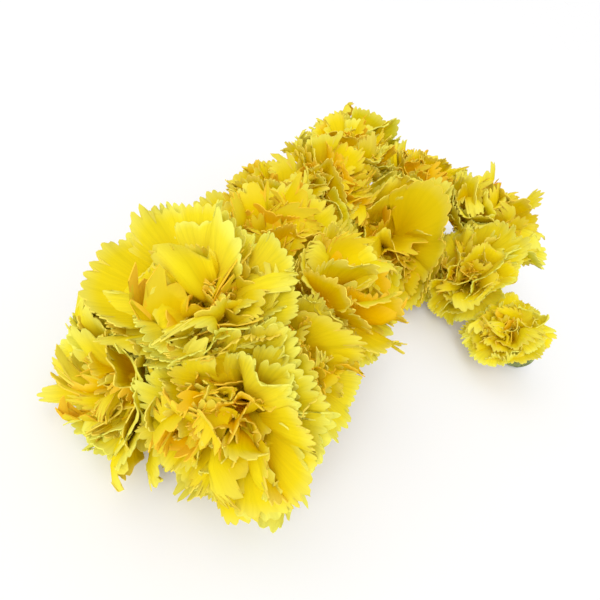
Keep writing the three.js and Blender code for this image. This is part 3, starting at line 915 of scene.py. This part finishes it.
def add_calyx(flower, pattern, material):
    """The green calyx of one flower with its cut stem."""
    piece = copy_of(pattern, "calyx_and_stem_%02d" % flower.number)
    points = points_of(piece)
    top = len(CALYX_RINGS) - 1
    level = np.clip(points[:, 2], 0, top)
    inside = np.linalg.norm(points[:, :2], axis=1) < 1 - HOLLOW_INSET / 2
    turn = np.arctan2(points[:, 1], points[:, 0])
    place = np.interp(level, range(top + 1), [ring[0] for ring in CALYX_RINGS])
    radius = np.interp(level, range(top + 1), [ring[1] for ring in CALYX_RINGS])
    mouth = flower.MOUTH_RADIUS * flower.width
    radius = radius * np.where(place < 0, STEM_RADIUS, mouth)
    rib = 1 + RIB_HEIGHT * np.cos(RIBS * turn) * (place > RIB_START)
    radius = np.where(inside, HOLLOW_RADIUS * mouth, radius * rib)
    on_last_ring = points[:, 2] > top - HOLLOW_DROP / 2
    tooth = TOOTH_HEIGHT * np.abs(np.cos(TEETH / 2 * turn)) ** TOOTH_POWER - TOOTH_DROP
    tooth = np.where(on_last_ring, tooth, 0)
    height = np.linalg.norm(flower.mouth - flower.foot) - STEM_LENGTH
    up = np.where(place < 0, place * STEM_LENGTH, place * height) + tooth * mouth
    up = np.where(inside, HOLLOW_FLOOR * height, up) - height
    shape = np.stack([radius * np.cos(turn), radius * np.sin(turn), up], -1)
    set_points(piece, flower.placed(shape))
    stem_map(piece, turn, place)
    clean(piece)
    stands_for(piece, flower.calyx_node, "green_calyx", material)
    smooth(piece, degrees=50)


def stem_map(piece, turn, place):
    """A UV map with U round the stem and V along it."""
    layer = piece.data.uv_layers[0]
    layer.name = "UVMap"
    for polygon in piece.data.polygons:
        angles = [turn[i] for i in polygon.vertices]
        wraps = max(angles) - min(angles) > math.pi
        for loop, vertex in zip(polygon.loop_indices, polygon.vertices):
            angle = turn[vertex] + (2 * math.pi if wraps and turn[vertex] < 0 else 0)
            layer.data[loop].uv = (angle / (2 * math.pi) + 0.5, place[vertex] * 0.5 + 0.5)


# ------------------------------------------------------------------ core, tape and wire

CORE_SIDES = 28
CORE_STEPS = 150
WIRE_RADIUS = 1.3 * MM
WIRE_SIDES = 16
WIRE_STEPS = 96
WIRE_START = RING_START + 0.2
WIRE_END = RING_END - 0.2
WIRE_EDGE = 0.3 * MM  # the rounding of its cut ends
LUMP_SIZE = 5 * MM
LUMP_HEIGHT = 1.5 * MM
LUMP_LEVEL = 0.55  # over 0.5, the moss is pushed in more than out

# How a strand of moss lies on the core, and how differently each lies. Sway and arch are shares of its
# length, and sizes are factors of the length that the user gives.
STRAND_WIDTH = 0.55 * MM
STRAND_END = 0.15  # the radius of its thin end in the pattern, whose thick end has 0.5
STRAND_BACK = 0.4  # share of its length behind its place
STRAND_SINK = 0.3 * MM  # how deep it starts in the core
STRAND_MARGIN = 1  # degrees that are left free at both ends of the core
STRAND_HEADING = 0.9  # radians to both sides of the way along the core
STRAND_SIZES = (0.6, 1.3)
STRAND_ARCHES = (0.1, 0.34)
STRAND_SWAY = 0.3
ARCH_HEIGHT = 1.6
ARCH_LENGTH = 1.15  # how far along its own length a strand comes down again
LOWEST_STRAND = 0.3 * MM  # over the table


def ring_point(angle, radius, height):
    """A point round the ring's centre, at an angle in degrees."""
    turn = math.radians(angle)
    return RING_CENTRE + Vector((radius * math.cos(turn), radius * math.sin(turn), height))


def spun_rod(name, radius, sides, start, end, steps):
    """A round rod along the ring: a circle at one end, spun round the ring's centre."""
    deselect()
    middle = ring_point(start, RING_RADIUS, 0)
    bpy.ops.mesh.primitive_circle_add(
        vertices=sides, radius=radius, fill_type="NGON", location=middle,
        rotation=(math.radians(90), 0, math.radians(start)))
    piece = bpy.context.object
    piece.name = name
    bpy.ops.object.transform_apply(location=True, rotation=True, scale=True)
    bpy.ops.object.mode_set(mode="EDIT")
    bpy.ops.mesh.select_all(action="SELECT")
    bpy.ops.mesh.spin(steps=steps, angle=math.radians(end - start), center=RING_CENTRE, axis=(0, 0, -1))
    bpy.ops.object.mode_set(mode="OBJECT")
    return piece


def add_strands(core, user):
    """Short bent strands that lie over the moss, joined to it."""
    random = np.random.RandomState(SEED)
    deselect()
    bpy.ops.mesh.primitive_cone_add(vertices=3, radius1=0.5, radius2=STRAND_END, depth=1,
                                    end_fill_type="TRIFAN")
    strand = bpy.context.object
    bpy.ops.object.mode_set(mode="EDIT")
    bpy.ops.mesh.select_all(action="SELECT")
    bpy.ops.mesh.subdivide(number_cuts=1)
    bpy.ops.object.mode_set(mode="OBJECT")
    flat = points_of(strand)
    count = user.strand_count
    apply_modifier(strand, "ARRAY", count=count, use_merge_vertices=False)
    angle = np.radians(random.uniform(CORE_START + STRAND_MARGIN, CORE_END - STRAND_MARGIN, count))
    round_core = random.uniform(0, 2 * np.pi, count)
    heading = random.uniform(-STRAND_HEADING, STRAND_HEADING, count) + np.pi * random.randint(0, 2, count)
    size = user.strand_length * random.uniform(*STRAND_SIZES, count)
    outwards = np.stack([np.cos(angle), np.sin(angle), 0 * angle], -1)
    along = np.stack([-np.sin(angle), np.cos(angle), 0 * angle], -1)
    normal = np.cos(round_core)[:, None] * outwards + np.sin(round_core)[:, None] * np.array([0, 0, 1.0])
    beside = np.cross(along, normal)
    lies = np.cos(heading)[:, None] * along + np.sin(heading)[:, None] * beside
    wide = np.cross(normal, lies)
    base = np.array(RING_CENTRE) + outwards * RING_RADIUS + normal * (CORE_RADIUS - STRAND_SINK)
    run = flat[None, :, 2] + 0.5  # from 0 at the thick end to 1 at the thin one
    arch = ARCH_HEIGHT * run * (ARCH_LENGTH - run)
    arch = arch * random.uniform(*STRAND_ARCHES, count)[:, None] * size[:, None]
    sway = random.uniform(-STRAND_SWAY, STRAND_SWAY, count)[:, None] * run**2 * size[:, None]
    lift = flat[None, :, 0] * STRAND_WIDTH + arch
    aside = flat[None, :, 1] * STRAND_WIDTH + sway
    shape = (base[:, None] + (run - STRAND_BACK)[..., None] * size[:, None, None] * lies[:, None]
             + aside[..., None] * wide[:, None] + lift[..., None] * normal[:, None])
    shape = shape.reshape(-1, 3)
    shape[:, 2] = np.maximum(shape[:, 2], LOWEST_STRAND)
    set_points(strand, shape)
    choose(strand)
    core.select_set(True)
    bpy.context.view_layer.objects.active = core
    bpy.ops.object.join()


BAND_SIDES = 64
BAND_CUTS = 3  # new rings of points between its two edges
BAND_WIDTH = 8.6 * MM
BAND_WALL = 0.55 * MM
BAND_FLATS = 8  # sides of the frame's core, which the tape follows in part
BAND_INRADIUS = 10.1 * MM  # of the flats
BAND_RADIUS = 10.45 * MM  # of the round stretches between them
FLAT_EDGE = 0.1 * MM  # a flat ends where its side is this much further out than in the middle
SEAM = 0.25 * MM  # how much thicker the band is where the tape overlaps itself
SEAM_PLACE = 1.1  # radians round the core
SEAM_SLANT = 0.5  # radians over the tape's width
CRINKLE = 0.07 * MM
CRINKLES = 41
CRINKLE_SLANT = 3
EDGE_WAVE = 0.3 * MM
EDGE_WAVES = 5
EDGE_START = 1.3
HALF_STEP = 5  # half of a straight length of the frame's ring, in degrees


def band_radius(turn, across):
    """The outside of the tape round the core: flats and round corners, a seam and fine crinkles."""
    side = 2 * np.pi / BAND_FLATS
    flat = BAND_INRADIUS / np.cos((turn + side / 2) % side - side / 2)
    overlap = SEAM * ((turn + SEAM_SLANT * across) > SEAM_PLACE)
    crinkle = CRINKLE * np.sin(turn * CRINKLES + CRINKLE_SLANT * across)
    radius = np.minimum(flat, BAND_RADIUS) - SEAM + overlap + crinkle
    return np.where(flat < BAND_INRADIUS + FLAT_EDGE, np.minimum(radius, BAND_INRADIUS), radius)


def add_band(name, material):
    """One turn of crepe tape, overlapping itself, round the core where its node is."""
    low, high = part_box(name)
    middle = (low + high) / 2 - RING_CENTRE
    angle = math.degrees(math.atan2(middle.y, middle.x))
    deselect()
    bpy.ops.mesh.primitive_cylinder_add(vertices=BAND_SIDES, radius=1, depth=1, end_fill_type="NOTHING")
    piece = bpy.context.object
    piece.name = piece.data.name = name.replace("tape_band", "crepe_band")
    bpy.ops.object.mode_set(mode="EDIT")
    bpy.ops.mesh.select_all(action="SELECT")
    bpy.ops.mesh.subdivide(number_cuts=BAND_CUTS)
    bpy.ops.object.mode_set(mode="OBJECT")
    points = points_of(piece)
    turn = np.arctan2(points[:, 1], points[:, 0])
    radius = band_radius(turn, points[:, 2])
    edge = EDGE_WAVE * np.sin(turn * EDGE_WAVES + EDGE_START) * np.sign(points[:, 2])
    width = points[:, 2] * BAND_WIDTH + edge
    outwards = ring_point(angle, 1, 0) - RING_CENTRE
    centre = ring_point(angle, RING_RADIUS * math.cos(math.radians(HALF_STEP)), 0)
    beside = Vector((-outwards.y, outwards.x, 0))
    shape = (np.array(centre) + (radius * np.sin(turn))[:, None] * np.array(outwards)
             + (radius * np.cos(turn))[:, None] * np.array([0, 0, 1.0]) + width[:, None] * np.array(beside))
    set_points(piece, shape)
    clean(piece)
    apply_modifier(piece, "SOLIDIFY", thickness=BAND_WALL, offset=-1)
    stands_for(piece, name, "floral_tape", material)
    smooth(piece, degrees=50)


# ------------------------------------------------------------------ operators


class WREATH_OT_flowers(bpy.types.Operator):
    """Builds the toothed, ruffled petals of every flower"""
    bl_idname = "wreath.flowers"
    bl_label = "Flowers"

    def execute(self, context):
        user = context.scene.wreath_petals
        limb, margin = tuple(user.limb), tuple(user.margin)
        throat, back = tuple(user.throat), tuple(user.back)
        # Halfway to the face's throat colour: the backs carry part of its painted shade deep in the flower.
        golden = tuple((first + second) / 2 for first, second in zip(limb, throat))
        materials = (petal_material("petal_face", throat, limb, margin),
                     petal_material("petal_back", golden, back, margin))
        pattern = flat_petal()
        flowers = all_flowers()
        for flower in flowers:
            add_flower(flower, flowers, pattern, user, materials)
        discard(pattern)
        return {"FINISHED"}


class WREATH_OT_calyxes(bpy.types.Operator):
    """Builds the green calyx and cut stem of every flower"""
    bl_idname = "wreath.calyxes"
    bl_label = "Calyxes and Stems"

    def execute(self, context):
        green = tuple(context.scene.wreath_greens.calyx)
        material = green_material("calyx_green", green, shaded(green, 0.55), across=30.0, roughness=0.5)
        pattern = calyx_pattern()
        for flower in all_flowers():
            add_calyx(flower, pattern, material)
        discard(pattern)
        return {"FINISHED"}


class WREATH_OT_core(bpy.types.Operator):
    """Builds the moss core with its loose strands"""
    bl_idname = "wreath.core"
    bl_label = "Moss Core"

    def execute(self, context):
        user = context.scene.wreath_greens
        core = spun_rod("moss", CORE_RADIUS, CORE_SIDES, CORE_START, CORE_END, CORE_STEPS)
        clean(core)
        lumps = bpy.data.textures.new("moss_lumps", "CLOUDS")
        lumps.noise_scale = LUMP_SIZE
        apply_modifier(core, "DISPLACE", texture=lumps, texture_coords="LOCAL", strength=LUMP_HEIGHT,
                       mid_level=LUMP_LEVEL)
        add_strands(core, user)
        stands_for(core, "moss_core", "moss", moss_material(tuple(user.moss)))
        smooth(core, degrees=60)
        return {"FINISHED"}


class WREATH_OT_bands(bpy.types.Operator):
    """Builds the six bands of crepe tape"""
    bl_idname = "wreath.bands"
    bl_label = "Tape Bands"

    def execute(self, context):
        green = tuple(context.scene.wreath_greens.tape)
        material = green_material("crepe_tape", green, shaded(green, 0.6), across=60.0, roughness=0.7)
        for name in BAND_NODES:
            add_band(name, material)
        return {"FINISHED"}


class WREATH_OT_wire(bpy.types.Operator):
    """Builds the bent wire inside the core"""
    bl_idname = "wreath.wire"
    bl_label = "Wire"

    def execute(self, context):
        colour = tuple(context.scene.wreath_greens.wire)
        wire = spun_rod("bent_wire", WIRE_RADIUS, WIRE_SIDES, WIRE_START, WIRE_END, WIRE_STEPS)
        clean(wire)
        apply_modifier(wire, "BEVEL", width=WIRE_EDGE, segments=2, limit_method="ANGLE",
                       angle_limit=math.radians(60))
        stands_for(wire, "core_wire", "steel_wire", wire_material(colour))
        smooth(wire, degrees=40)
        return {"FINISHED"}


class WREATH_OT_stage(bpy.types.Operator):
    """Builds the pale floor, the soft lights and the camera"""
    bl_idname = "wreath.stage"
    bl_label = "Stage"

    FLOOR_SIZE = 12
    FLOOR_DROP = 0.1 * MM  # under the table plane
    WALL_TOP = 0.05  # the height where the light of the sides ends, 0 being level and 1 straight up
    SKY_BOTTOM = 0.4  # the height where the light from above begins
    KEY_PLACE = (-0.25, 0.25, 0.75)
    KEY_AIM = (0, 0, 0.03)
    FRONT_PLACE = (0, 0.03, 0.06)  # from the camera
    FRONT_AIM = (0, 0, 0.04)
    FRONT_WIDTH = 35  # degrees
    SENSOR_WIDTH = 36  # millimetres
    NEAREST = 10 * MM  # what is closer to the camera isn't seen

    def execute(self, context):
        user = context.scene.wreath_stage
        self.add_floor(tuple(user.floor))
        self.add_sky(context.scene, user)
        key = self.add_light("AREA", "key", self.KEY_PLACE, self.KEY_AIM, user.key_power)
        key.size = user.key_size
        place = Vector(user.camera_place) + Vector(self.FRONT_PLACE)
        front = self.add_light("SUN", "front", place, self.FRONT_AIM, user.front_strength)
        front.angle = math.radians(self.FRONT_WIDTH)
        self.add_camera(user)
        context.scene.view_settings.view_transform = "Standard"
        context.scene.view_settings.gamma = user.gamma
        return {"FINISHED"}

    def add_floor(self, colour):
        """A wide matt floor just under the wreath."""
        deselect()
        bpy.ops.mesh.primitive_plane_add(size=self.FLOOR_SIZE, location=(0, 0, -self.FLOOR_DROP))
        floor = bpy.context.object
        floor.name = "floor"
        material, _, shader = new_material("floor", Roughness=0.9, Specular_IOR_Level=0.1)
        shader.inputs["Base Color"].default_value = colour
        floor.data.materials.append(material)

    def add_sky(self, scene, user):
        """Even white light, brighter from the sides than from above."""
        world = bpy.data.worlds.new("studio")
        scene.world = world
        world.use_nodes = True
        tree = world.node_tree
        sky = tree.nodes["Background"]
        sky.inputs["Color"].default_value = (1, 1, 1, 1)
        place = node(tree, "ShaderNodeTexCoord")
        height = node(tree, "ShaderNodeSeparateXYZ", [(0, place.outputs["Generated"])]).outputs[2]
        strength = ranged(tree, height, start=self.WALL_TOP, end=self.SKY_BOTTOM,
                          low=user.wall_strength, high=user.sky_strength)
        tree.links.new(strength, sky.inputs["Strength"])

    def add_light(self, kind, name, place, aim, power):
        """A light that stands at a place and shines at its aim."""
        bpy.ops.object.light_add(type=kind, location=place)
        light = bpy.context.object
        light.name = name
        light.data.energy = power
        light.rotation_euler = (Vector(aim) - Vector(place)).to_track_quat("-Z", "Y").to_euler()
        return light.data

    def add_camera(self, user):
        """The camera, turned about the vertical, then down, then about its own view."""
        bpy.ops.object.camera_add(location=user.camera_place)
        camera = bpy.context.object
        turned = (Matrix.Rotation(user.camera_heading, 3, "Z")
                  @ Matrix.Rotation(math.radians(90) - user.camera_pitch, 3, "X")
                  @ Matrix.Rotation(user.camera_roll, 3, "Z"))
        camera.rotation_euler = turned.to_euler()
        camera.data.sensor_width = self.SENSOR_WIDTH
        camera.data.lens = user.camera_lens
        camera.data.clip_start = self.NEAREST
        bpy.context.scene.camera = camera


class WREATH_PT_panel(bpy.types.Panel):
    """The wreath's pieces and their sizes and colours"""
    bl_idname = "WREATH_PT_panel"
    bl_label = "Carnation Wreath"
    bl_space_type = "VIEW_3D"
    bl_region_type = "UI"
    bl_category = "Wreath"

    def draw(self, context):
        for group in user_groups():
            box = self.layout.box()
            for name in group.bl_rna.properties.keys():
                if name not in ("rna_type", "name"):
                    box.prop(group, name)
        for operator in OPERATORS:
            self.layout.operator(operator.bl_idname)


GROUPS = (WreathPetals, WreathGreens, WreathStage)
OPERATORS = (WREATH_OT_flowers, WREATH_OT_calyxes, WREATH_OT_core, WREATH_OT_bands, WREATH_OT_wire,
             WREATH_OT_stage)


def register():
    for each in (*GROUPS, *OPERATORS, WREATH_PT_panel):
        bpy.utils.register_class(each)
    bpy.types.Scene.wreath_petals = bpy.props.PointerProperty(type=WreathPetals)
    bpy.types.Scene.wreath_greens = bpy.props.PointerProperty(type=WreathGreens)
    bpy.types.Scene.wreath_stage = bpy.props.PointerProperty(type=WreathStage)


def unregister():
    del bpy.types.Scene.wreath_petals, bpy.types.Scene.wreath_greens, bpy.types.Scene.wreath_stage
    for each in reversed((*GROUPS, *OPERATORS, WREATH_PT_panel)):
        bpy.utils.unregister_class(each)


def main():
    """Registers the add-on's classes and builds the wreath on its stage."""
    register()
    bpy.ops.wreath.flowers()
    bpy.ops.wreath.calyxes()
    bpy.ops.wreath.core()
    bpy.ops.wreath.bands()
    bpy.ops.wreath.wire()
    bpy.ops.wreath.stage()


if __name__ == "__main__":
    main()
